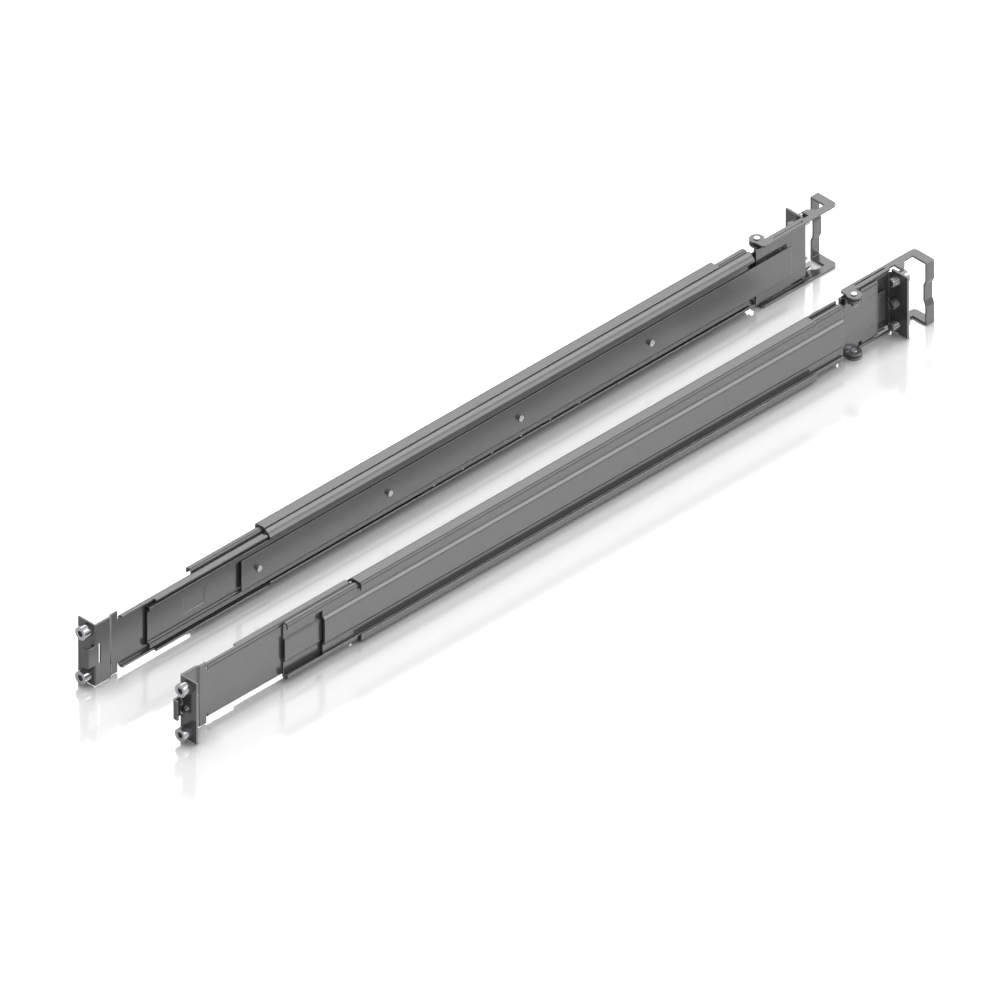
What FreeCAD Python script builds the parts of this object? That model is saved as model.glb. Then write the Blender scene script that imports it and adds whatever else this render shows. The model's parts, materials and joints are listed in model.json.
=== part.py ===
import FreeCAD, Part
import Sketcher
import os
import re

# A pair of telescopic ball bearing rails for a server rack, shown folded and side by side.
# Millimetres. +Y runs from the front of the rack to the back, +X to the right, +Z up.
# The right rail is modelled and the left rail is its mirror image about X = 0.
# Inside a rail, "out" is the distance outwards from the rail's own corner plane,
# "back" the distance behind the front flange face and "up" the height above the floor.

SIZES = {
    # Where the two rails stand
    "pair_gap": 70.6,
    "rail_length": 592.5,
    "mid_back": "(latch_back - post_reach) / 2",
    "rack_unit": 43.6,
    "floor_lift": 0.5,
    "post_pitch": 31.75,
    # Sheet thicknesses
    "sheet": 1.2,
    "slide_sheet": 0.8,
    "extension_sheet": 1.5,
    "latch_sheet": 1.3,
    "running_gap": 0.3,
    # Front bracket
    "flange_out": 14.1,
    "plate_back": 20.0,
    "joggle_back": 12.5,
    "joggle_run": 2.3,
    "bracket_height": 37.0,
    "bracket_back": 141.0,
    "bracket_bend": 0.8,
    "lip_in_front": 1.2,
    "lip_in_rear": 3.3,
    "lip_step_back": 48.0,
    "lip_start_back": 21.5,
    # Mounting posts and screw holes of both ends
    "post_out": 6.3,
    "rear_post_out": 6.3,
    "post_radius": 4.3,
    "post_reach": 6.0,
    "post_neck_radius": 3.0,
    "post_collar_radius": 4.0,
    "post_collar": 2.0,
    "thread_radius": 2.5,
    "thread_crest": 0.4,
    "thread_reach": 4.6,
    "thread_pitch": 0.9,
    "socket_depth": 3.4,
    "socket_radius": 2.3,
    "screw_radius": 2.1,
    "boss_radius": 3.0,
    "boss_reach": 1.8,
    # Front latch
    "hook_up": 15.0,
    "hook_height": 13.7,
    "hook_reach": 4.1,
    "hook_gap": 4.8,
    "hook_leg_back": 2.8,
    "hook_pin_out": 9.3,
    "hook_pin_back": 4.1,
    "hook_barrel_radius": 1.5,
    "hook_pin_radius": 0.7,
    "hook_knuckle": 2.8,
    "hook_ear_radius": 1.8,
    "ear_gap": 1.8,
    # Carrier channel
    "carrier_front": 83.0,
    "carrier_back": "rail_length - 46.5",
    "carrier_height": 40.1,
    "carrier_lip_out": 7.3,
    "carrier_lip": 3.8,
    "hat_out": 5.0,
    "hat_height": 16.4,
    # Support channel
    "support_front": 142.5,
    "support_wrap_back": "carrier_back - 24.5",
    "support_lip_out": 9.25,
    "support_lip": 5.6,
    "channel_bend": 1.8,
    # Slide members
    "race_slope_out": 0.4,
    "race_shoulder": 20.8,
    "race_dip_in": 1.2,
    "race_dip": 19.1,
    "race_knee_in": 2.6,
    "race_knee": 18.0,
    "race_lip_in": 3.9,
    "race_lip_top": 16.5,
    "race_lip_end": 15.3,
    "middle_web_in": 0.9,
    "middle_lip_in": 3.0,
    "middle_front": 43.0,
    "middle_back": "carrier_back - 5",
    "middle_half": 14.8,
    "middle_lip_end": 11.4,
    "middle_shelf_bend": 1.6,
    "inner_face_in": 3.4,
    "inner_front": 119.0,
    "inner_back": "rail_length - 15.5",
    "inner_half": 10.7,
    # Ball cages
    "outer_ball_radius": 1.1,
    "outer_ball_in": 1.1,
    "outer_cage_front": 269.0,
    "outer_cage_length": 145.0,
    "outer_balls": 6,
    "inner_ball_radius": 0.55,
    "inner_ball_up": 6.0,
    "inner_cage_front": 195.0,
    "inner_cage_length": 230.0,
    "inner_balls": 8,
    "cage_sheet": 0.4,
    "outer_cage_half": 1.3,
    # Flush rivets
    "rivet_radius": 1.8,
    "rivet_up": 13.0,
    "rivet_front_margin": 28.5,
    "rivet_rear_margin": 15.0,
    # Chassis studs
    "stud_front": 132.4,
    "stud_pitch": 109.0,
    "stud_radius": 1.9,
    "stud_reach": 1.8,
    "stud_neck_radius": 1.2,
    # Rear extension
    "extension_front": 113.5,
    "extension_in": 4.3,
    "extension_half": "carrier_height / 2 - sheet - 0.45",
    "bead_rise": 1.9,
    "bead_half": 8.3,
    "bead_back": "rail_length - 46",
    "head_out": 3.2,
    "head_front": "rail_length - 42.5",
    "head_back": "rail_length - 13.7",
    "head_half": "carrier_height / 2 - 0.15",
    "head_bend": 2.3,
    "tongue_back": "rail_length - 7.9",
    "tongue_half": 10.2,
    "rear_wall_in": 1.1,
    "rear_wall_front": "head_front",
    "rear_flange_out": 15.5,
    # Rear latch
    "latch_pivot_out": 5.2,
    "latch_pivot_back": "head_front + 6.8",
    "latch_eye_radius": 4.7,
    "latch_pin_radius": 1.6,
    "latch_head_radius": 1.9,
    "latch_head": 0.5,
    "latch_stub_radius": 0.9,
    "latch_stub": 3.4,
    "latch_gap": 1.1,
    "latch_arm_in": 3.4,
    "latch_arm": 5.1,
    "latch_neck": 3.7,
    "latch_plate": 9.2,
    "latch_back": "rail_length + latch_reach",
    "latch_reach": 23.3,
    "latch_bar": 6.4,
    "latch_bar_out": 13.2,
    "grip_in": 1.6,
    "grip_half": 5.5,
    "grip_slope": 3.5,
    "ear_relief": 3.8,
}

doc = FreeCAD.newDocument("server_rail_pair")
sheet = doc.addObject("Spreadsheet::Sheet", "sizes")
for row, (word, size) in enumerate(SIZES.items(), start=1):
    sheet.set(f"A{row}", word)
    sheet.set(f"B{row}", f"={size}")
    sheet.setAlias(f"B{row}", word)
doc.recompute()

WORD = re.compile(r"[a-z_]+[a-z]")
right_parts = []


def bound(text):
    """An expression in the words of the sheet, written as the document wants it."""
    return WORD.sub(lambda found: f"sizes.{found.group(0)}", text)


def tie(item, name, text):
    item.setExpression(name, bound(text))


def plane_of(body, role):
    return next(feature for feature in body.Origin.OriginFeatures if feature.Role == role)


def place(item, out="0", back="0", up="0"):
    """Moves an object by expressions within the rail."""
    tie(item, "Placement.Base.x", out)
    tie(item, "Placement.Base.y", back)
    tie(item, "Placement.Base.z", up)
    return item


def outline(sketch, points):
    """A closed outline with each corner held by the two expressions given for it."""
    count = len(points)
    corners = [FreeCAD.Vector(100 + 40 * (k % 2), 10 * k, 0) for k in range(count)]
    for k in range(count):
        sketch.addGeometry(Part.LineSegment(corners[k], corners[(k + 1) % count]), False)
    for k in range(count):
        nearby = Sketcher.Constraint("Coincident", k, 2, (k + 1) % count, 1)
        sketch.addConstraint(nearby)
    for k, (across, along) in enumerate(points):
        for kind, text, start in (("DistanceX", across, corners[k].x), ("DistanceY", along, corners[k].y)):
            index = sketch.addConstraint(Sketcher.Constraint(kind, -1, 1, k, 1, start))
            tie(sketch, f"Constraints[{index}]", text)


def add_pad(body, name, role, points, start, length):
    """Pads an outline on one of the body's origin planes, from start, over length."""
    sketch = body.newObject("Sketcher::SketchObject", f"{name}_outline")
    sketch.AttachmentSupport = [(plane_of(body, role), "")]
    sketch.MapMode = "FlatFace"
    sign = "-1 * " if role == "XZ_Plane" else ""
    tie(sketch, "AttachmentOffset.Base.z", f"{sign}({start})")
    outline(sketch, points)
    pad = body.newObject("PartDesign::Pad", f"{name}_pad")
    pad.Profile = sketch
    tie(pad, "Length", length)
    pad.Reversed = role == "XZ_Plane"
    doc.recompute()
    return sketch, pad


def round_corners(body, sketch, feature, corners, radius):
    """Rounds the padded edges that stand on the numbered corners of an outline."""
    turn = sketch.Placement
    spots = [turn.multVec(sketch.getPoint(k, 1)) for k in corners]
    normal = turn.Rotation.multVec(FreeCAD.Vector(0, 0, 1))
    names = []
    for number, edge in enumerate(feature.Shape.Edges, start=1):
        if edge.Curve.TypeId != "Part::GeomLine":
            continue
        if abs(edge.Curve.Direction.dot(normal)) < 0.999:
            continue
        first = edge.Vertexes[0].Point
        for spot in spots:
            offset = first - spot
            flat = offset - normal * offset.dot(normal)
            if flat.Length < 0.001:
                names.append(f"Edge{number}")
                break
    fillet = body.newObject("PartDesign::Fillet", f"{feature.Name}_bend")
    fillet.Base = (feature, names)
    tie(fillet, "Radius", radius)
    doc.recompute()
    return fillet


def both_halves(points, centre="rack_unit / 2"):
    """Closes the upper half of a section with its mirror image about mid height."""
    upper = [(out, f"{centre} + ({rise})") for out, rise in points]
    lower = [(out, f"{centre} - ({rise})") for out, rise in reversed(points)]
    return upper + lower


def new_body(name):
    body = doc.addObject("PartDesign::Body", name)
    return body


def box(name, out, back, up):
    """A block between two expressions each way: (low, high) for out, back and up."""
    block = doc.addObject("Part::Box", name)
    tie(block, "Length", f"({out[1]}) - ({out[0]})")
    tie(block, "Width", f"({back[1]}) - ({back[0]})")
    tie(block, "Height", f"({up[1]}) - ({up[0]})")
    return place(block, out[0], back[0], up[0])


AXES = {
    "out": FreeCAD.Rotation(FreeCAD.Vector(0, 1, 0), 90),
    "back": FreeCAD.Rotation(FreeCAD.Vector(1, 0, 0), -90),
    "up": FreeCAD.Rotation(),
}


def rod(name, axis, radius, length, out, back, up):
    """A round bar that starts at the given place and runs along out, back or up."""
    bar = doc.addObject("Part::Cylinder", name)
    bar.Placement = FreeCAD.Placement(FreeCAD.Vector(), AXES[axis])
    tie(bar, "Radius", radius)
    tie(bar, "Height", length)
    return place(bar, out, back, up)


def fuse(name, pieces):
    joined = doc.addObject("Part::MultiFuse", name)
    joined.Shapes = pieces
    return joined


def cut(name, base, tools):
    """Takes the tools out of the base."""
    result = doc.addObject("Part::Cut", name)
    result.Base = base
    result.Tool = tools[0] if len(tools) == 1 else fuse(f"{name}_tools", tools)
    return result


def group(name, pieces):
    compound = doc.addObject("Part::Compound", name)
    compound.Links = pieces
    return compound


def keep(name, item):
    """Sets a finished sub-part at the right rail's place and gives it its name."""
    holder = group(f"{name}_at_rail", [item])
    holder.Label = f"right_{name}"
    place(holder, "pair_gap / 2", "-1 * mid_back", "floor_lift")
    right_parts.append((name, holder))


def half(size):
    return f"{size} / 2"


MID = "rack_unit / 2"
POST_LOW = "rack_unit / 2 - post_pitch / 2"
POST_HIGH = "rack_unit / 2 + post_pitch / 2"
WEB = "2 * sheet"


def post_group(name, out, end, away, neck):
    """Two mounting posts on a flange: socket head, neck through the flange, and what holds it behind."""
    posts = []
    for place_name, height in (("low", POST_LOW), ("high", POST_HIGH)):
        tag = f"{name}_{place_name}"
        head_back = f"{end} - post_reach" if away < 0 else end
        neck_back = end if away < 0 else f"{end} - {neck}"
        pieces = [
            rod(f"{tag}_head", "back", "post_radius", "post_reach", out, head_back, height),
            rod(f"{tag}_neck", "back", "post_neck_radius", neck, out, neck_back, height),
        ]
        if away < 0:
            pieces.append(rod(f"{tag}_collar", "back", "post_collar_radius", "post_collar", out,
                              f"{end} + {neck}", height))
        else:
            tail = f"{end} - {neck} - thread_reach"
            pieces.append(rod(f"{tag}_tail", "back", "thread_radius", "thread_reach", out, tail, height))
            for turn in range(5):
                pieces.append(rod(f"{tag}_thread_{turn}", "back", "thread_radius + thread_crest",
                                  "thread_pitch / 2", out, f"{tail} + ({turn} + 0.1) * thread_pitch", height))
        socket = doc.addObject("Part::Prism", f"{tag}_socket")
        socket.Polygon = 6
        socket.Placement = FreeCAD.Placement(FreeCAD.Vector(), AXES["back"])
        tie(socket, "Circumradius", "socket_radius")
        tie(socket, "Height", "socket_depth")
        socket_back = f"{end} - post_reach" if away < 0 else f"{end} + post_reach - socket_depth"
        place(socket, out, socket_back, height)
        posts.append(cut(tag, fuse(f"{tag}_blank", pieces), [socket]))
    return group(name, posts)


def value(word):
    return float(sheet.get(word))


def coil(name, turns, radius, wire, out, back, low, high):
    """A torsion spring: a wire coiled around an upright pin between two heights."""
    rise = high - low
    helix = Part.makeHelix(rise / turns, rise, radius)
    start = FreeCAD.Vector(radius, 0, 0)
    ring = Part.Wire([Part.makeCircle(wire, start, FreeCAD.Vector(0, 1, 0))])
    solid = Part.Wire(helix.Edges).makePipeShell([ring], True, True)
    solid.translate(FreeCAD.Vector(out, back, low))
    feature = doc.addObject("Part::Feature", name)
    feature.Shape = solid
    return feature


def front_bracket():
    """Flange, full height plate with its joggle, and the flanged tail that carries the slide."""
    body = new_body("bracket_blank")
    plan = [
        ("0", "0"),
        ("flange_out", "0"),
        ("flange_out", "sheet"),
        ("sheet", "sheet"),
        ("sheet", "joggle_back"),
        (WEB, "joggle_back + joggle_run"),
        (WEB, "plate_back"),
        ("sheet", "plate_back"),
        ("sheet", "joggle_back + joggle_run"),
        ("0", "joggle_back"),
    ]
    sketch, pad = add_pad(body, "bracket_front", "XY_Plane", plan, "0", "rack_unit")
    round_corners(body, sketch, pad, [0], "sheet")
    tail = new_body("bracket_tail")
    rise = half("bracket_height")
    section = both_halves([
        ("sheet", f"{rise} - sheet"),
        ("-1 * lip_in_rear", f"{rise} - sheet"),
        ("-1 * lip_in_rear", rise),
        (WEB, rise),
    ])
    sketch, pad = add_pad(tail, "bracket_tail", "XZ_Plane", section, "plate_back", "bracket_back - plate_back")
    corners = round_corners(tail, sketch, pad, [3, 4], "bracket_bend + sheet")
    round_corners(tail, sketch, corners, [0, 7], "bracket_bend")
    cuts = []
    for side, low, high in (("low", "0", MID), ("high", MID, "rack_unit")):
        edge = f"{MID} - {rise} + bracket_bend + 2 * sheet" if side == "low" else low
        top = high if side == "low" else "rack_unit"
        start = "0" if side == "low" else f"{MID} + {rise} - bracket_bend - 2 * sheet"
        stop = edge if side == "low" else top
        cuts.append(box(f"bracket_relief_{side}", ("-1 * lip_in_rear - 1", f"{WEB} + 1"),
                        ("plate_back", "lip_start_back"), (start, stop)))
        cuts.append(box(f"bracket_step_{side}", ("-1 * lip_in_rear - 1", "-1 * lip_in_front"),
                        ("plate_back - 1", "lip_step_back"), (start, stop)))
    trimmed = cut("bracket_tail_trimmed", tail, cuts)
    boss = rod("bracket_boss", "back", "boss_radius", "boss_reach + sheet", "post_out", "0", MID)
    joined = fuse("bracket_joined", [body, trimmed, boss])
    holes = rivet_holes("bracket", hole_list[:4]) + [
        rod("bracket_screw_hole", "back", "screw_radius", "boss_reach + 2 * sheet + 1",
            "post_out", "-1", MID),
        box("bracket_hook_window", ("-1", "3"), ("-1", "hook_leg_back + latch_sheet + 1"),
            ("hook_up - 0.6", "hook_up + hook_height + 0.6")),
    ]
    for side, height in (("low", POST_LOW), ("high", POST_HIGH)):
        holes.append(rod(f"bracket_post_hole_{side}", "back", "post_neck_radius", "3 * sheet",
                         "post_out", "-1 * sheet", height))
    keep("front_bracket", cut("front_bracket", joined, holes))


def front_latch():
    """Hook that reaches round the edge of a rack upright, its pin, mount and spring."""
    body = new_body("hook_blank")
    plan = [
        ("0", "-1 * hook_gap - latch_sheet + 0.1"),
        ("hook_reach", "-1 * hook_gap - latch_sheet + 0.1"),
        ("hook_reach", "-1 * hook_gap"),
        ("sheet", "-1 * hook_gap"),
        ("sheet", "hook_leg_back"),
        ("hook_pin_out + 0.2", "hook_leg_back"),
        ("hook_pin_out + 0.2", "hook_leg_back + latch_sheet"),
        ("0", "hook_leg_back + latch_sheet"),
    ]
    sketch, pad = add_pad(body, "hook", "XY_Plane", plan, "hook_up", "hook_height")
    round_corners(body, sketch, pad, [0, 7], "sheet")
    knuckles = [
        rod("hook_knuckle_low", "up", "hook_barrel_radius", "hook_knuckle",
            "hook_pin_out", "hook_pin_back", "hook_up"),
        rod("hook_knuckle_high", "up", "hook_barrel_radius", "hook_knuckle",
            "hook_pin_out", "hook_pin_back", "hook_up + hook_height - hook_knuckle"),
    ]
    joined = fuse("hook_joined", [body] + knuckles)
    bore = rod("hook_bore", "up", "hook_pin_radius + 0.06", "hook_height + 2",
               "hook_pin_out", "hook_pin_back", "hook_up - 1")
    access = rod("hook_access", "back", "boss_radius + 0.8", "latch_sheet + 1.2",
                 "post_out", "hook_leg_back - 0.6", MID)
    keep("front_latch", cut("front_latch", joined, [bore, access]))

    low = "hook_up - ear_gap"
    high = "hook_up + hook_height + ear_gap"
    ear_out = ("hook_pin_out - hook_ear_radius", "hook_pin_out + hook_ear_radius")
    strip_out = "hook_pin_out + hook_barrel_radius + 0.3"
    mount = fuse("hook_mount_blank", [
        box("hook_mount_base", (strip_out, "flange_out - 0.6"),
            ("sheet", "2 * sheet - 0.3"), (f"{low} - sheet", f"{high} + sheet")),
        box("hook_mount_low", ear_out, ("sheet", "hook_pin_back"), (f"{low} - sheet", low)),
        rod("hook_mount_low_end", "up", "hook_ear_radius", "sheet", "hook_pin_out", "hook_pin_back",
            f"{low} - sheet"),
        box("hook_mount_high", ear_out, ("sheet", "hook_pin_back"), (high, f"{high} + sheet")),
        rod("hook_mount_high_end", "up", "hook_ear_radius", "sheet", "hook_pin_out", "hook_pin_back", high),
    ])
    ear_bore = rod("hook_mount_bore", "up", "hook_pin_radius", "rack_unit",
                   "hook_pin_out", "hook_pin_back", "0")
    keep("front_latch_mount", cut("front_latch_mount", mount, [ear_bore]))

    head = "0.6"
    pin = fuse("front_latch_pin", [
        rod("hook_pin_shank", "up", "hook_pin_radius",
            "hook_height + 2 * ear_gap + 2 * sheet + 1.2", "hook_pin_out", "hook_pin_back",
            f"{low} - sheet - {head}"),
        rod("hook_pin_foot", "up", "hook_pin_radius + 0.7", head, "hook_pin_out",
            "hook_pin_back", f"{low} - sheet - {head}"),
        rod("hook_pin_head", "up", "hook_pin_radius + 0.7", head, "hook_pin_out",
            "hook_pin_back", f"{high} + sheet"),
    ])
    keep("front_latch_pin", pin)
    top = value("hook_up") + value("hook_height")
    wire = 0.2
    gap = value("running_gap")
    spring = coil("front_latch_spring", 2, value("hook_pin_radius") + gap + wire, wire,
                  value("hook_pin_out"), value("hook_pin_back"),
                  top + gap + wire, top + value("ear_gap") - gap - wire)
    keep("front_latch_spring", spring)


def carrier_channel():
    """Channel open to the outside, with a raised middle, that carries the whole rail."""
    body = new_body("carrier_channel_body")
    rise = half("carrier_height")
    hat = half("hat_height")
    section = both_halves([
        ("hat_out - sheet", f"{hat} - sheet"),
        (WEB, f"{hat} - sheet"),
        (WEB, rise),
        ("carrier_lip_out", rise),
        ("carrier_lip_out", f"{rise} - carrier_lip"),
        ("carrier_lip_out - sheet", f"{rise} - carrier_lip"),
        ("carrier_lip_out - sheet", f"{rise} - sheet"),
        (f"{WEB} + sheet", f"{rise} - sheet"),
        (f"{WEB} + sheet", hat),
        ("hat_out", hat),
    ])
    sketch, pad = add_pad(body, "carrier", "XZ_Plane", section, "carrier_front",
                          "carrier_back - carrier_front")
    outer = round_corners(body, sketch, pad, [2, 3, 16, 17], "channel_bend")
    inner = round_corners(body, sketch, outer, [6, 7, 12, 13], "channel_bend - sheet")
    crown = round_corners(body, sketch, inner, [9, 10], "sheet")
    round_corners(body, sketch, crown, [8, 11], "0.9")
    return body


def support_channel():
    """Channel wrapped round the carrier, whose web runs on past its flanges."""
    body = new_body("support_channel_body")
    rise = "carrier_height / 2 + sheet"
    section = both_halves([
        ("sheet", rise),
        ("support_lip_out", rise),
        ("support_lip_out", f"{rise} - support_lip"),
        ("support_lip_out - sheet", f"{rise} - support_lip"),
        ("support_lip_out - sheet", f"{rise} - sheet"),
        (WEB, f"{rise} - sheet"),
    ])
    sketch, pad = add_pad(body, "support", "XZ_Plane", section, "support_front",
                          "support_wrap_back - support_front")
    outer = round_corners(body, sketch, pad, [1, 10], "channel_bend")
    round_corners(body, sketch, outer, [4, 7], "channel_bend - sheet")
    web = box("support_web", ("sheet", WEB), ("support_wrap_back - 1", "carrier_back"),
              (f"{MID} - carrier_height / 2 + channel_bend - 0.3",
               f"{MID} + carrier_height / 2 - channel_bend + 0.3"))
    return fuse("support_joined", [body, web])


def slide_outer_member():
    """Fixed slide member: web and two sloping races that hold the outer balls."""
    body = new_body("slide_outer_member_body")
    skin = "slide_sheet"
    section = both_halves([
        ("sheet", "race_shoulder - 0.6"),
        ("race_slope_out", "race_shoulder"),
        ("-1 * race_dip_in", "race_dip"),
        ("-1 * race_knee_in", "race_knee"),
        ("-1 * race_lip_in", "race_lip_top"),
        ("-1 * race_lip_in", "race_lip_end"),
        (f"{skin} - race_lip_in", "race_lip_end"),
        (f"{skin} - race_lip_in", f"race_lip_top - 0.37 * {skin}"),
        (f"0.695 * {skin} - race_knee_in", f"race_knee - 0.726 * {skin}"),
        (f"0.675 * {skin} - race_dip_in", f"race_dip - 0.741 * {skin}"),
        (f"sheet - {skin}", f"race_shoulder - 1.65 * {skin}"),
    ])
    sketch, pad = add_pad(body, "race", "XZ_Plane", section, "support_front",
                          "carrier_back - support_front")
    knee = round_corners(body, sketch, pad, [3, 4, 17, 18], "0.8")
    dip = round_corners(body, sketch, knee, [2, 19], "2")
    round_corners(body, sketch, dip, [1, 20], "0.5")
    return body


def middle_member():
    """Telescoping member: web, shelves bent inwards, lips, and flanges that the outer balls run on."""
    body = new_body("middle_member_body")
    skin = "slide_sheet"
    section = both_halves([
        (f"{skin} - middle_web_in", f"middle_lip_end + {skin}"),
        (f"{skin} - middle_lip_in", f"middle_lip_end + {skin}"),
        (f"{skin} - middle_lip_in", f"middle_half - {skin}"),
        (f"{skin} - middle_web_in - 0.1", f"middle_half - {skin}"),
        (f"{skin} - middle_web_in - 0.1", "middle_half"),
        ("-1 * middle_lip_in", "middle_half"),
        ("-1 * middle_lip_in", "middle_lip_end"),
        ("-1 * middle_web_in", "middle_lip_end"),
    ])
    sketch, pad = add_pad(body, "middle", "XZ_Plane", section, "middle_front",
                          "middle_back - middle_front")
    rims = round_corners(body, sketch, pad, [5, 10], "slide_sheet")
    lips = round_corners(body, sketch, rims, [6, 9], "slide_sheet / 2")
    shelves = round_corners(body, sketch, lips, [7, 8], "middle_shelf_bend")
    round_corners(body, sketch, shelves, [0, 15], "slide_sheet")
    recess = box("middle_recess", ("-1 * middle_web_in - 1", "0.35 - middle_web_in"),
                 ("middle_front + 30", "middle_front + 47.5"), (f"{MID} - 5.2", f"{MID} + 6.4"))
    return cut("middle_member", body, [recess])


def inner_member():
    """Flat member that bolts to the server, with four holes for its studs."""
    body = new_body("inner_member_body")
    section = both_halves([
        ("-1 * inner_face_in", "inner_half"),
        ("slide_sheet - inner_face_in", "inner_half"),
    ])
    sketch, pad = add_pad(body, "inner", "XZ_Plane", section, "inner_front", "inner_back - inner_front")
    round_corners(body, sketch, pad, [0, 3], "0.45 * slide_sheet")
    holes = []
    for number in range(4):
        holes.append(rod(f"inner_stud_hole_{number}", "out", "stud_neck_radius", "3 * slide_sheet",
                         "-1 * inner_face_in - slide_sheet", f"stud_front + {number} * stud_pitch", MID))
    return cut("inner_member", body, holes)


def chassis_studs():
    """Four headed studs riveted into the inner member."""
    studs = []
    for number in range(4):
        back = f"stud_front + {number} * stud_pitch"
        head = rod(f"stud_head_{number}", "out", "stud_radius", "stud_reach",
                   "-1 * inner_face_in - stud_reach", back, MID)
        neck = rod(f"stud_neck_{number}", "out", "stud_neck_radius", "slide_sheet",
                   "-1 * inner_face_in", back, MID)
        studs.append(fuse(f"stud_{number}", [head, neck]))
    return group("chassis_studs", studs)


def ball_row(name, radius, count, out, front, length, up):
    """Balls evenly spaced along a cage, with the round pockets that hold them."""
    balls = []
    pockets = []
    axis = "up" if name.startswith("outer") else "out"
    for number in range(count):
        back = f"{front} + ({number} + 0.5) * {length} / {count}"
        ball = doc.addObject("Part::Sphere", f"{name}_ball_{number}")
        tie(ball, "Radius", radius)
        balls.append(place(ball, out, back, up))
        reach = "3 * cage_sheet"
        shift = f" - {reach}"
        pocket_out = out if axis == "up" else out + shift
        pocket_up = up + shift if axis == "up" else up
        pockets.append(rod(f"{name}_pocket_{number}", axis, f"{radius} + 0.1", f"2 * {reach}",
                           pocket_out, back, pocket_up))
    return balls, pockets


def outer_bearing():
    """Upper and lower row of balls between the fixed and the middle member."""
    rise = "middle_half + running_gap + outer_ball_radius"
    balls = []
    strips = []
    for side, sign in (("low", "-"), ("high", "+")):
        up = f"{MID} {sign} ({rise})"
        row, pockets = ball_row(f"outer_{side}", "outer_ball_radius", int(value("outer_balls")),
                                "-1 * outer_ball_in", "outer_cage_front", "outer_cage_length", up)
        balls += row
        strip = box(f"outer_strip_{side}", ("-1 * outer_ball_in - outer_cage_half", "outer_cage_half - outer_ball_in"),
                    ("outer_cage_front", "outer_cage_front + outer_cage_length"),
                    (f"{up} - cage_sheet / 2", f"{up} + cage_sheet / 2"))
        strips.append(cut(f"outer_cage_{side}", strip, pockets))
    keep("outer_ball_cages", group("outer_ball_cages", strips))
    keep("outer_balls", group("outer_balls", balls))


def inner_bearing():
    """Two rows of balls in one flat cage between the middle and the inner member."""
    out = "-1 * (middle_web_in + inner_face_in - slide_sheet) / 2"
    balls = []
    pockets = []
    for side, sign in (("low", "-"), ("high", "+")):
        row, holes = ball_row(f"inner_{side}", "inner_ball_radius", int(value("inner_balls")), out,
                              "inner_cage_front", "inner_cage_length", f"{MID} {sign} inner_ball_up")
        balls += row
        pockets += holes
    strip = box("inner_strip", (f"{out} - cage_sheet / 2", f"{out} + cage_sheet / 2"),
                ("inner_cage_front", "inner_cage_front + inner_cage_length"),
                (f"{MID} - inner_ball_up - 1.4", f"{MID} + inner_ball_up + 1.4"))
    keep("inner_ball_cage", cut("inner_ball_cage", strip, pockets))
    keep("inner_balls", group("inner_balls", balls))


def web_rivets():
    """Flush rivets through the webs: bracket to carrier, and slide and support to carrier."""
    rivets = []
    holes = []
    run = "(carrier_back - support_front - rivet_front_margin - rivet_rear_margin)"
    rows = [("sheet", "bracket_back - 20"), ("sheet", "bracket_back - 6")]
    rows += [("sheet - slide_sheet", f"support_front + rivet_front_margin + {k} * {run} / 3") for k in range(4)]
    for number, (start, back) in enumerate(rows):
        for side, sign in (("low", "-"), ("high", "+")):
            up = f"{MID} {sign} rivet_up"
            length = f"3 * sheet - ({start})"
            rivets.append(rod(f"rivet_{number}_{side}", "out", "rivet_radius", length, start, back, up))
            holes.append((start, length, back, up, f"{number}_{side}"))
    return rivets, holes


def rivet_holes(name, holes):
    """Holes for the flush rivets, cut right through one sub-part."""
    return [rod(f"{name}_rivet_hole_{tag}", "out", "rivet_radius", f"{length} + 2", f"{start} - 1", back, up)
            for start, length, back, up, tag in holes]


def both_sides_of_mid(name, out, back, low, high):
    """Two blocks, one above and one below mid height, at the same distances from it."""
    return [
        box(f"{name}_high", out, back, (f"{MID} + {low}", f"{MID} + {high}")),
        box(f"{name}_low", out, back, (f"{MID} - ({high})", f"{MID} - ({low})")),
    ]


def rivet_spots():
    return [("head_back - 6.8", f"{MID} - 11"), ("head_back - 6.8", f"{MID} + 11"),
            ("head_front + 6", f"{MID} - 8"), ("head_front + 6", f"{MID} + 8")]


def spacer_holes(name, start, length):
    return [rod(f"{name}_{k}", "out", "rivet_radius", length, start, back, up)
            for k, (back, up) in enumerate(rivet_spots())]


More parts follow.
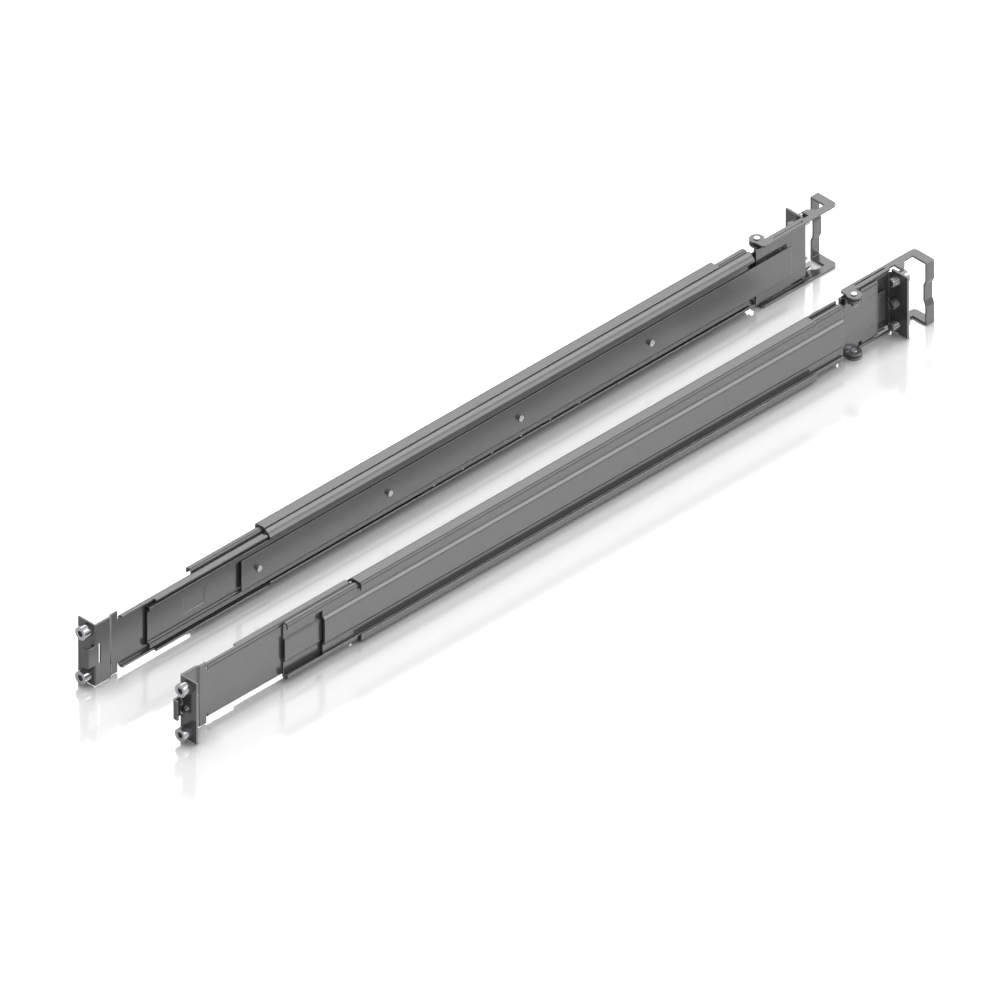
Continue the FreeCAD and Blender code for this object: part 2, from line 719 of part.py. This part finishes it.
def rear_extension():
    """Beaded plate that telescopes in the carrier, stepped in to a flanged head with pivot ears."""
    body = new_body("extension_beaded")
    skin = "extension_sheet"
    face = f"extension_in + {skin}"
    miter = f"0.4142 * {skin}"
    section = both_halves([
        ("extension_in + bead_rise", f"bead_half - {miter}"),
        ("extension_in", f"bead_half + bead_rise - {miter}"),
        ("extension_in", "extension_half"),
        (face, "extension_half"),
        (face, "bead_half + bead_rise"),
        (f"{face} + bead_rise", "bead_half"),
    ])
    sketch, pad = add_pad(body, "extension", "XZ_Plane", section, "extension_front",
                          "bead_back - extension_front")
    round_corners(body, sketch, pad, [4, 5, 6, 7], "1.2")

    step = new_body("extension_step")
    plan = [
        ("extension_in", "bead_back - 0.2"),
        (face, "bead_back - 0.2"),
        (face, "bead_back + 0.6"),
        ("head_out", "head_front + 0.6"),
        ("head_out", "head_front + 1.6"),
        (f"head_out - {skin}", "head_front + 1.6"),
        (f"head_out - {skin}", "head_front"),
        ("extension_in", "bead_back + 0.3"),
    ]
    add_pad(step, "step", "XY_Plane", plan, "rack_unit / 2 - 16", "32")

    head = new_body("extension_head")
    section = both_halves([
        (f"head_out - {skin}", f"head_half - {skin}"),
        ("-1 * rear_wall_in", f"head_half - {skin}"),
        ("-1 * rear_wall_in", "head_half"),
        ("head_out", "head_half"),
    ])
    sketch, pad = add_pad(head, "head", "XZ_Plane", section, "head_front", "head_back - head_front")
    outer = round_corners(head, sketch, pad, [3, 4], "head_bend")
    round_corners(head, sketch, outer, [0, 7], f"head_bend - {skin}")
    tongue = box("extension_tongue", (f"head_out - {skin}", "head_out"), ("head_back - 1", "tongue_back"),
                 (f"{MID} - tongue_half", f"{MID} + tongue_half"))
    reliefs = both_sides_of_mid("ear_relief_rear", (f"head_out - {skin} - 1", "head_out + 1"),
                                ("latch_pivot_back + latch_eye_radius",
                                 "latch_pivot_back + latch_eye_radius + ear_relief"),
                                "head_half - ear_relief", "head_half + 1")
    reliefs += both_sides_of_mid("ear_relief_front", (f"head_out - {skin} - 1", "head_out + 1"),
                                 ("head_front - 1", "latch_pivot_back - latch_eye_radius"),
                                 "head_half - ear_relief", "head_half + 1")
    formed = cut("extension_head_cut", fuse("extension_head_joined", [head, tongue]), reliefs)
    ears = []
    for side, low in (("high", f"{MID} + head_half - {skin}"), ("low", f"{MID} - head_half")):
        ears.append(box(f"ear_{side}", ("head_out - head_bend", "latch_pivot_out"),
                        ("latch_pivot_back - latch_eye_radius", "latch_pivot_back + latch_eye_radius"),
                        (low, f"{low} + {skin}")))
        ears.append(rod(f"ear_round_{side}", "up", "latch_eye_radius", skin, "latch_pivot_out",
                        "latch_pivot_back", low))
    holes = spacer_holes("head_rivet_hole", f"head_out - 2 * {skin}", f"3 * {skin}")
    holes.append(rod("ear_bore", "up", "latch_pin_radius", "rack_unit", "latch_pivot_out",
                     "latch_pivot_back", "0"))
    joined = fuse("extension_joined", [body, step, formed] + ears)
    keep("rear_extension", cut("rear_extension", joined, holes))


def rear_bracket():
    """Inner wall nested in the head of the extension, and the flange with the rear posts."""
    skin = "extension_sheet"
    rise = f"head_half - {skin}"
    body = new_body("rear_bracket_body")
    flange_front = f"rail_length - {skin}"
    plan = [
        ("-1 * rear_wall_in", "rear_wall_front"),
        (f"{skin} - rear_wall_in", "rear_wall_front"),
        (f"{skin} - rear_wall_in", flange_front),
        ("rear_flange_out", flange_front),
        ("rear_flange_out", "rail_length"),
        ("-1 * rear_wall_in", "rail_length"),
    ]
    sketch, pad = add_pad(body, "rear", "XY_Plane", plan, f"{MID} - ({rise})", f"2 * ({rise})")
    outer = round_corners(body, sketch, pad, [5], f"{skin} + 0.5")
    round_corners(body, sketch, outer, [2], "0.5")
    flange = box("rear_flange", ("2.2", "rear_flange_out"), (flange_front, "rail_length"),
                 ("0", "rack_unit"))
    tail = f"{flange_front} - thread_reach"
    boss = [rod("rear_boss", "back", "thread_radius + 0.1", f"thread_reach + {skin}", "rear_post_out",
                tail, MID)]
    for turn in range(5):
        boss.append(rod(f"rear_boss_thread_{turn}", "back", "thread_radius + thread_crest",
                        "thread_pitch / 2", "rear_post_out", f"{tail} + ({turn} + 0.1) * thread_pitch", MID))
    tools = [rod("rear_screw_hole", "back", "screw_radius", "2 * thread_reach", "rear_post_out",
                 "rail_length - 1.5 * thread_reach", MID)]
    for side, height in (("low", POST_LOW), ("high", POST_HIGH)):
        tools.append(rod(f"rear_post_hole_{side}", "back", "post_neck_radius", f"3 * {skin}",
                         "rear_post_out", f"{flange_front} - {skin}", height))
    tools += spacer_holes("wall_rivet_hole", f"-1 * rear_wall_in - {skin}", f"3 * {skin}")
    keep("rear_bracket", cut("rear_bracket", fuse("rear_joined", [body, flange] + boss), tools))

    rivets = []
    for k, (back, up) in enumerate(rivet_spots()):
        shank = rod(f"spacer_shank_{k}", "out", "rivet_radius", "head_out + rear_wall_in",
                    "-1 * rear_wall_in", back, up)
        waist = rod(f"spacer_waist_{k}", "out", "rivet_radius + 0.8", f"head_out + rear_wall_in - 2 * {skin}",
                    f"{skin} - rear_wall_in", back, up)
        rivets.append(fuse(f"spacer_{k}", [shank, waist]))
    keep("rear_rivets", group("rear_rivets", rivets))


LATCH_TOP = f"{MID} + head_half + latch_gap"
LATCH_LOW = f"{MID} - head_half - latch_gap - latch_sheet"


def latch_plate(name, low):
    """One arm of the rear latch in plan, padded to its thickness from a height."""
    body = new_body(name)
    inside = "-1 * latch_arm_in"
    bar_front = "latch_back - latch_bar"
    points = [
        (f"{inside} + latch_arm", "latch_pivot_back + 3"),
        (f"{inside} + latch_arm", "rail_length - extension_sheet - 0.6"),
        (f"{inside} + latch_neck", "rail_length - extension_sheet - 0.6"),
        (f"{inside} + latch_neck", "rail_length + 2.4"),
        (f"{inside} + latch_plate", "rail_length + 2.4"),
        (f"{inside} + latch_plate", "rail_length + 6"),
        (f"{inside} + latch_plate - 4.4", "rail_length + 10.4"),
        (f"{inside} + latch_plate - 4.4", bar_front),
        ("latch_bar_out", bar_front),
        ("latch_bar_out", "latch_back"),
        (inside, "latch_back"),
        (inside, "latch_pivot_back - 2"),
        (f"{inside} + 1", "latch_pivot_back - 3.4"),
        ("latch_pivot_out", "latch_pivot_back - 4"),
        ("latch_pivot_out", "latch_pivot_back + 3"),
    ]
    sketch, pad = add_pad(body, name, "XY_Plane", points, low, "latch_sheet")
    corner = round_corners(body, sketch, pad, [10], "3")
    round_corners(body, sketch, corner, [5, 6], "0.8")
    return body


def rear_latch():
    """U shaped latch: two slotted arms, a cranked grip bar, and eyes for its pivot pins."""
    pieces = []
    cuts = []
    for side, low in (("top", LATCH_TOP), ("low", LATCH_LOW)):
        pieces.append(latch_plate(f"latch_{side}", low))
        pieces.append(rod(f"latch_eye_{side}", "up", "latch_eye_radius", "latch_sheet",
                          "latch_pivot_out", "latch_pivot_back", low))
        cuts.append(rod(f"latch_bore_{side}", "up", "latch_pin_radius + 0.06", "latch_sheet + 0.4",
                        "latch_pivot_out", "latch_pivot_back", f"{low} - 0.2"))
        cuts.append(box(f"latch_slit_{side}", ("1.6 - latch_arm_in", "2.8 - latch_arm_in"),
                        ("latch_pivot_back + 7", "rail_length - 4"),
                        (f"{low} - 0.2", f"{low} + latch_sheet + 0.2")))
    body = new_body("latch_bar_body")
    bar_low = LATCH_LOW
    bar_high = f"{LATCH_TOP} + latch_sheet"
    outer = "latch_bar_out"
    skin = "latch_sheet"
    faces = [(outer, "grip_half + grip_slope"), (f"{outer} - grip_in", "grip_half")]
    right_side = [(outer, bar_high)] + [(out, f"{MID} + {rise}") for out, rise in faces]
    right_side += [(out, f"{MID} - ({rise})") for out, rise in reversed(faces)] + [(outer, bar_low)]
    left_side = [(f"{out} - {skin}", up) for out, up in reversed(right_side)]
    sketch, pad = add_pad(body, "latch_bar", "XZ_Plane", right_side + left_side,
                          "latch_back - latch_bar", "latch_bar")
    bends = round_corners(body, sketch, pad, [1, 2, 3, 4, 7, 8, 9, 10], "1.2")
    pieces.append(body)
    keep("rear_latch", cut("rear_latch", fuse("rear_latch_joined", pieces), cuts))

    at = ("latch_pivot_out", "latch_pivot_back")
    ear_low = f"{MID} + head_half - extension_sheet"
    top_pin = fuse("latch_top_pin", [
        rod("top_pin_stub", "up", "latch_stub_radius", "latch_stub", *at, f"{ear_low} - latch_stub"),
        rod("top_pin_foot", "up", "latch_head_radius", "0.4", *at, f"{ear_low} - latch_stub - 0.4"),
        rod("top_pin_shank", "up", "latch_pin_radius",
            "extension_sheet + latch_gap + latch_sheet + 0.1", *at, ear_low),
        rod("top_pin_collar", "up", "latch_head_radius", "latch_gap - 0.1", *at, f"{MID} + head_half"),
        rod("top_pin_head", "up", "latch_head_radius", "latch_head", *at,
            f"{LATCH_TOP} + latch_sheet + 0.1"),
    ])
    low_pin = fuse("latch_low_pin", [
        rod("low_pin_shank", "up", "latch_pin_radius", "extension_sheet + latch_gap + latch_sheet",
            *at, LATCH_LOW),
        rod("low_pin_collar", "up", "latch_head_radius", "latch_gap - 0.1", *at,
            f"{MID} - head_half - latch_gap + 0.1"),
        rod("low_pin_head", "up", "latch_head_radius", "latch_head", *at,
            f"{MID} - head_half + extension_sheet"),
    ])
    keep("rear_latch_pins", group("rear_latch_pins", [top_pin, low_pin]))
    wire = 0.25
    gap = value("running_gap")
    high = value("rack_unit") / 2 + value("head_half") - value("extension_sheet")
    spring = coil("rear_latch_spring", 3, value("latch_stub_radius") + gap + wire, wire,
                  value("latch_pivot_out"), value("latch_pivot_back"),
                  high - value("latch_stub") + gap + wire, high - gap - wire)
    keep("rear_latch_spring", spring)


def closing_bumper():
    """Soft block at the back of the fixed member, which the middle member closes on."""
    low = f"{MID} - 4"
    return box("closing_bumper", ("sheet - slide_sheet - 2.6", "sheet - slide_sheet"),
               ("middle_back + running_gap", "carrier_back"), (low, f"{MID} + 4"))


rivets, hole_list = web_rivets()
front_bracket()
keep("front_posts", post_group("front_posts", "post_out", "0", -1, "sheet"))
front_latch()
keep("carrier_channel", cut("carrier_channel", carrier_channel(), rivet_holes("carrier", hole_list)))
keep("support_channel", cut("support_channel", support_channel(), rivet_holes("support", hole_list)))
keep("slide_outer_member", cut("slide_outer_member", slide_outer_member(), rivet_holes("race", hole_list)))
keep("web_rivets", group("web_rivets", rivets))
keep("closing_bumper", closing_bumper())
outer_bearing()
keep("middle_member", middle_member())
inner_bearing()
keep("inner_member", inner_member())
keep("chassis_studs", chassis_studs())
rear_extension()
rear_bracket()
keep("rear_posts", post_group("rear_posts", "rear_post_out", "rail_length", 1, "extension_sheet"))
rear_latch()

finished = []
for name, right in right_parts:
    left = doc.addObject("Part::Mirroring", f"{name}_mirrored")
    left.Source = right
    left.Normal = FreeCAD.Vector(1, 0, 0)
    left.Base = FreeCAD.Vector(0, 0, 0)
    left.Label = f"left_{name}"
    finished += [right, left]
doc.recompute()

for item in doc.Objects:
    if "Invalid" in item.State or "Error" in item.State:
        raise RuntimeError(f"{item.Label} did not build: {item.State}")
os.makedirs("parts", exist_ok=True)
for part in finished:
    if part.Shape.isNull() or not part.Shape.isValid():
        raise RuntimeError(f"{part.Label} has no valid shape")
    part.Shape.exportStep(f"parts/{part.Label}.step")
    print(f"{part.Label:28s} solids {len(part.Shape.Solids):3d} volume {part.Shape.Volume:10.1f}")
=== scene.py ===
import json
import math

import bpy
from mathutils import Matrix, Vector

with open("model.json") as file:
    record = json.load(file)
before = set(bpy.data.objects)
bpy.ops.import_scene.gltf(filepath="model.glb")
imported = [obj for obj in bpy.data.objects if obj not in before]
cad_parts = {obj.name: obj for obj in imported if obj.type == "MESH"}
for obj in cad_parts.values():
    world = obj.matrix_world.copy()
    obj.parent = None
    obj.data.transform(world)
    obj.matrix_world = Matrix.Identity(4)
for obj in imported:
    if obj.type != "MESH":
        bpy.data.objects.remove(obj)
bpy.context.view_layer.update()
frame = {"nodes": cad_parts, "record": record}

# Camera: parallel view along a diagonal of the rails, with its width, shifts and distances in metres
AZIMUTH = math.radians(45)
ELEVATION = math.radians(35)
VIEW_WIDTH = 0.5893
SHIFT_RIGHT = 0.00183
SHIFT_UP = 0.00098
CAMERA_AWAY = 2.0
FARTHEST_SEEN = 10.0

# Floor: size, height, tone of its matt part, share and roughness of its polish
FLOOR_SIZE = 8.0
FLOOR_LEVEL = -0.0003
FLOOR_TONE = 0.45
FLOOR_POLISH = 0.26
FLOOR_ROUGHNESS = 0.12

# Lift that whitens the floor for the camera and in reflections. It fades where something stands within
# reach over the floor, which paints a contact shadow there, and the more steeply the greater the depth.
FLOOR_LIFT = 0.48
CONTACT_REACH = 0.02
CONTACT_DEPTH = 3.0
CONTACT_SAMPLES = 12

# Light of the studio by direction: level + slope . direction, and a bright band round it at one height
SKY_LEVEL = 0.75
SKY_SLOPE = (0.3, 0.35, 0.0)
BAND_HEIGHT = 0.574
BAND_WIDTH = 0.12
BAND_LEVEL = 1.8
BAND_SLOPE = (1.5, 3.3, 0.0)
LEAST_LIGHT = 0.05

# Finishes: tone, metallic, roughness, grain strength and width in metres of the rounded edge that carries
# a painted highlight
FINISHES = {
    "zinc_sheet": (0.094, 0.42, 0.17, 0.04, 0.00050),
    "latch_steel": (0.094, 0.42, 0.17, 0.04, 0.00050),
    "turned_steel": (0.38, 0.85, 0.14, 0.03, 0.00030),
    "bearing_steel": (0.60, 1.0, 0.08, 0.01, 0.00005),
    "spring_steel": (0.20, 0.8, 0.30, 0.02, 0.00003),
    "cage_steel": (0.14, 0.6, 0.35, 0.04, 0.00005),
    "bumper_plastic": (0.03, 0.0, 0.55, 0.10, 0.00020),
}

# Faint tint of each tone, grain per metre across, along and up the rail with its depth in metres, and
# mottling per metre with its change of tone and roughness
TINT = (1.01, 0.985, 1.02)
GRAIN_SCALE = (900.0, 18.0, 900.0)
GRAIN_DEPTH = 0.0001
MOTTLE_SCALE = 60.0
MOTTLE_TONE = 0.07
MOTTLE_ROUGHNESS = 0.15

# Painted edge highlight: cosine of the turn at which the painted highlight starts and is full, its
# greatest share and how bright it is
PAINTED_HIGHLIGHT_START = 0.995
PAINTED_HIGHLIGHT_FULL = 0.85
PAINTED_HIGHLIGHT_SHARE = 0.9
PAINTED_HIGHLIGHT_TONE = 4.0
EDGE_SAMPLES = 4

WHITE = (1, 1, 1, 1)


class Shader:
    """A node tree with short ways to add and join nodes."""

    def __init__(self, owner):
        owner.use_nodes = True
        self.tree = owner.node_tree
        self.tree.nodes.clear()

    def add(self, kind, links=(), **settings):
        node = self.tree.nodes.new(kind)
        for key, value in settings.items():
            setattr(node, key, value)
        for socket, value in dict(links).items():
            self.feed(node.inputs[socket], value)
        return node

    def feed(self, socket, value):
        if isinstance(value, bpy.types.NodeSocket):
            self.tree.links.new(value, socket)
        else:
            socket.default_value = value

    def reckon(self, operation, first, second):
        """The result of a sum of two values."""
        return self.add("ShaderNodeMath", {0: first, 1: second}, operation=operation).outputs[0]


def tinted(tone):
    return tuple(tone * share for share in TINT) + (1.0,)


def steel(name, tone, metallic, rough, grain, edge):
    """Rolled sheet: fine grain along the rail, slight mottling, and a painted highlight that brightens
    the edges.
    """
    material = bpy.data.materials.new(name)
    shader = Shader(material)
    place = shader.add("ShaderNodeTexCoord").outputs["Object"]
    stretched = shader.add("ShaderNodeMapping", {"Vector": place, "Scale": GRAIN_SCALE})
    grain_map = shader.add("ShaderNodeTexNoise", {
        "Vector": stretched.outputs[0], "Scale": 1.0, "Detail": 3.0, "Roughness": 0.6})
    mottle = shader.add("ShaderNodeTexNoise", {"Vector": place, "Scale": MOTTLE_SCALE, "Detail": 4.0})
    rounded = shader.add("ShaderNodeBevel", {"Radius": edge}, samples=EDGE_SAMPLES)
    bump = shader.add("ShaderNodeBump", {
        "Strength": grain, "Distance": GRAIN_DEPTH, "Height": grain_map.outputs["Fac"],
        "Normal": rounded.outputs[0]})
    facing = shader.add("ShaderNodeNewGeometry")
    # Painted highlight: where the rounded normal turns away from the face, the edge is marked for a
    # brighter tone
    meeting = shader.add("ShaderNodeVectorMath", {
        0: rounded.outputs[0], 1: facing.outputs["Normal"]}, operation="DOT_PRODUCT")
    painted_edge_highlight = shader.add("ShaderNodeMapRange", {
        "Value": meeting.outputs["Value"], "From Min": PAINTED_HIGHLIGHT_START, "From Max": PAINTED_HIGHLIGHT_FULL,
        "To Min": 0.0, "To Max": PAINTED_HIGHLIGHT_SHARE})
    body = shader.add("ShaderNodeMixRGB", {
        "Fac": mottle.outputs["Fac"], "Color1": tinted(tone * (1 - MOTTLE_TONE)),
        "Color2": tinted(tone * (1 + MOTTLE_TONE))})
    # Painted highlight: the edge mask mixes the body tone toward a brighter one
    colour = shader.add("ShaderNodeMixRGB", {
        "Fac": painted_edge_highlight.outputs[0], "Color1": body.outputs[0],
        "Color2": tinted(min(1.0, tone * PAINTED_HIGHLIGHT_TONE))})
    roughness = shader.add("ShaderNodeMapRange", {
        "Value": mottle.outputs["Fac"], "To Min": rough * (1 - MOTTLE_ROUGHNESS),
        "To Max": rough * (1 + MOTTLE_ROUGHNESS)})
    surface = shader.add("ShaderNodeBsdfPrincipled", {
        "Base Color": colour.outputs[0], "Metallic": metallic,
        "Roughness": roughness.outputs[0], "Normal": bump.outputs[0]})
    shader.add("ShaderNodeOutputMaterial", {"Surface": surface.outputs[0]})
    return material


def dress_nodes():
    """Gives every CAD node the finish of its material slot in the record."""
    slots = {part["node"]: part["material_slot"] for part in frame["record"]["subparts"]}
    finishes = {slot: steel(slot, *FINISHES[slot]) for slot in FINISHES}
    for name, piece in frame["nodes"].items():
        piece.data.materials.clear()
        piece.data.materials.append(finishes[slots[name]])


def lay_floor():
    """A pale polished floor that mirrors what lies close to it, keeps its shadow, and has a painted
    contact shadow where its white lift fades near things.
    """
    bpy.ops.mesh.primitive_plane_add(size=FLOOR_SIZE, location=(0, 0, FLOOR_LEVEL))
    floor = bpy.context.object
    floor.name = "studio_floor"
    material = bpy.data.materials.new("studio_floor")
    shader = Shader(material)
    matt = shader.add("ShaderNodeBsdfDiffuse", {"Color": (FLOOR_TONE, FLOOR_TONE, FLOOR_TONE, 1)})
    polish = shader.add("ShaderNodeBsdfGlossy", {"Color": WHITE, "Roughness": FLOOR_ROUGHNESS})
    mixed = shader.add("ShaderNodeMixShader", {0: FLOOR_POLISH, 1: matt.outputs[0], 2: polish.outputs[0]})
    path = shader.add("ShaderNodeLightPath")
    seen = shader.reckon("MAXIMUM", path.outputs["Is Camera Ray"], path.outputs["Is Glossy Ray"])
    # Painted contact shadow: the white lift is dimmed by ambient occlusion where something stands close
    # over the floor
    openness = shader.add(
        "ShaderNodeAmbientOcclusion", {"Distance": CONTACT_REACH}, samples=CONTACT_SAMPLES)
    fading = shader.reckon("POWER", openness.outputs["AO"], CONTACT_DEPTH)
    share = shader.reckon("MULTIPLY", fading, FLOOR_LIFT)
    strength = shader.reckon("MULTIPLY", seen, share)
    lift = shader.add("ShaderNodeEmission", {"Color": WHITE, "Strength": strength})
    total = shader.add("ShaderNodeAddShader", {0: mixed.outputs[0], 1: lift.outputs[0]})
    shader.add("ShaderNodeOutputMaterial", {"Surface": total.outputs[0]})
    floor.data.materials.append(material)


def light_studio():
    """Soft light all round, with a bright band part way up that is strongest at the back right."""
    world = bpy.data.worlds.new("studio")
    bpy.context.scene.world = world
    shader = Shader(world)
    way = shader.add("ShaderNodeTexCoord").outputs["Generated"]

    def leaning_light(level, slope):
        leaning = shader.add("ShaderNodeVectorMath", {0: way, 1: slope}, operation="DOT_PRODUCT")
        total = shader.reckon("ADD", leaning.outputs["Value"], level)
        return shader.reckon("MAXIMUM", total, LEAST_LIGHT)

    height = shader.add("ShaderNodeSeparateXYZ", {0: way}).outputs["Z"]
    apart = shader.reckon("SUBTRACT", height, BAND_HEIGHT)
    scaled = shader.reckon("DIVIDE", apart, BAND_WIDTH)
    squared = shader.reckon("MULTIPLY", scaled, scaled)
    fading = shader.reckon("POWER", math.exp(-1), squared)
    band = shader.reckon("MULTIPLY", leaning_light(BAND_LEVEL, BAND_SLOPE), fading)
    light = shader.reckon("ADD", leaning_light(SKY_LEVEL, SKY_SLOPE), band)
    glow = shader.add("ShaderNodeBackground", {"Color": WHITE, "Strength": light})
    shader.add("ShaderNodeOutputWorld", {"Surface": glow.outputs[0]})


def set_camera():
    """Parallel camera on the diagonal, as in the photograph."""
    back = Vector((
        math.sin(AZIMUTH) * math.cos(ELEVATION),
        -math.cos(AZIMUTH) * math.cos(ELEVATION),
        math.sin(ELEVATION),
    ))
    data = bpy.data.cameras.new("camera")
    data.type = "ORTHO"
    data.ortho_scale = VIEW_WIDTH
    data.clip_end = FARTHEST_SEEN
    camera = bpy.data.objects.new("camera", data)
    bpy.context.scene.collection.objects.link(camera)
    turn = back.to_track_quat("Z", "Y")
    aim = turn @ Vector((-SHIFT_RIGHT, SHIFT_UP, 0))
    camera.location = aim + back * CAMERA_AWAY
    camera.rotation_euler = turn.to_euler()
    bpy.context.scene.camera = camera


dress_nodes()
lay_floor()
light_studio()
set_camera()
bpy.context.scene.view_settings.view_transform = "Standard"
